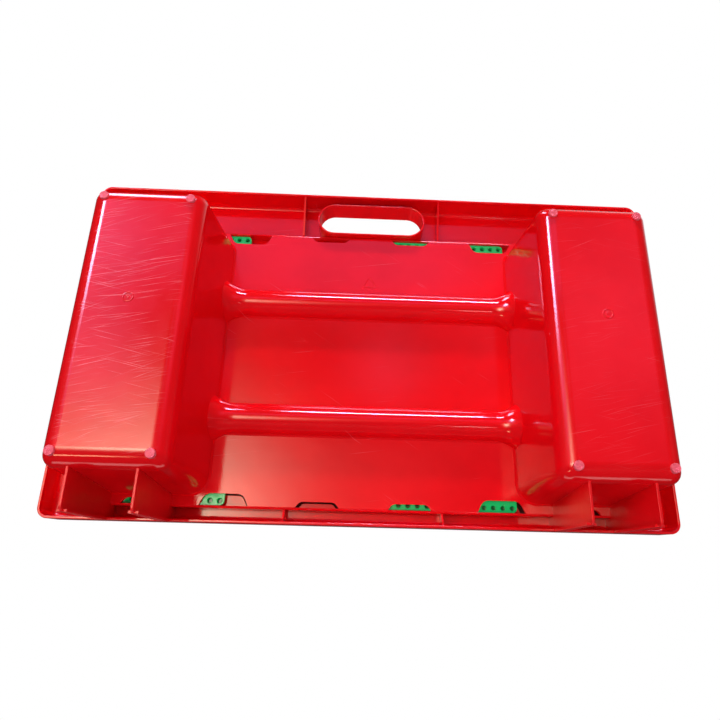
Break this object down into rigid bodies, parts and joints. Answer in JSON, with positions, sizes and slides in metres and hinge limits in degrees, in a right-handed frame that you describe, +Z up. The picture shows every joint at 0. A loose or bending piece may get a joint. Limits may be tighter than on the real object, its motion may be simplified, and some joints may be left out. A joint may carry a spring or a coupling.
{
  "type": "activity tray",
  "caption": "Flat lap tray with a deep storage bin at each end, a carrying handle slot, and studded plates that slide along a track to cover a bin or the middle.",
  "frame": {"origin": "centre of the footprint, on the plane the foot pads stand on", "axes": "+X to the right along the tray's length, +Y to the handle (away from the user), +Z up, out of the building surface"},
  "size_m": [0.522, 0.314, 0.1042],
  "materials": {
    "tray_red": "glossy injection-moulded plastic",
    "foot_red": "fine spark-textured plastic",
    "plate_green": "glossy injection-moulded plastic"
  },
  "bodies": {
    "tray": {"floor": "tray_red", "floor_middle": "tray_red", "track_wall": "tray_red", "deck": "tray_red", "skirt": "tray_red", "handle_collar": "tray_red", "bin_left": "tray_red", "bin_right": "tray_red", "channel_front": "tray_red", "channel_back": "tray_red", "lip_front_1": "tray_red", "lip_front_2": "tray_red", "lip_front_3": "tray_red", "lip_front_4": "tray_red", "lip_front_5": "tray_red", "lip_front_6": "tray_red", "lip_back_1": "tray_red", "lip_back_2": "tray_red", "lip_back_3": "tray_red", "lip_back_4": "tray_red", "lip_back_5": "tray_red", "lip_back_6": "tray_red", "rib_back_left": "tray_red", "rib_back_right": "tray_red", "rib_front_left": "tray_red", "rib_front_right": "tray_red", "fin_left_inner": "tray_red", "fin_left_outer": "tray_red", "fin_right_inner": "tray_red", "fin_right_outer": "tray_red", "foot_left_front_inner": "foot_red", "foot_left_front_outer": "foot_red", "foot_left_back_inner": "foot_red", "foot_left_back_outer": "foot_red", "foot_right_front_inner": "foot_red", "foot_right_front_outer": "foot_red", "foot_right_back_inner": "foot_red", "foot_right_back_outer": "foot_red"},
    "right_plate": {"plate_right": "plate_green"},
    "left_plate": {"plate_left": "plate_green"}
  },
  "joints": [
    {"name": "right_plate_slide", "type": "slide", "parent": "tray", "child": "right_plate", "axis": [1, 0, 0], "range_m": [-0.1153, 0]},
    {"name": "left_plate_slide", "type": "slide", "parent": "tray", "child": "left_plate", "axis": [1, 0, 0], "range_m": [-0.1141, 0.0012]}
  ]
}
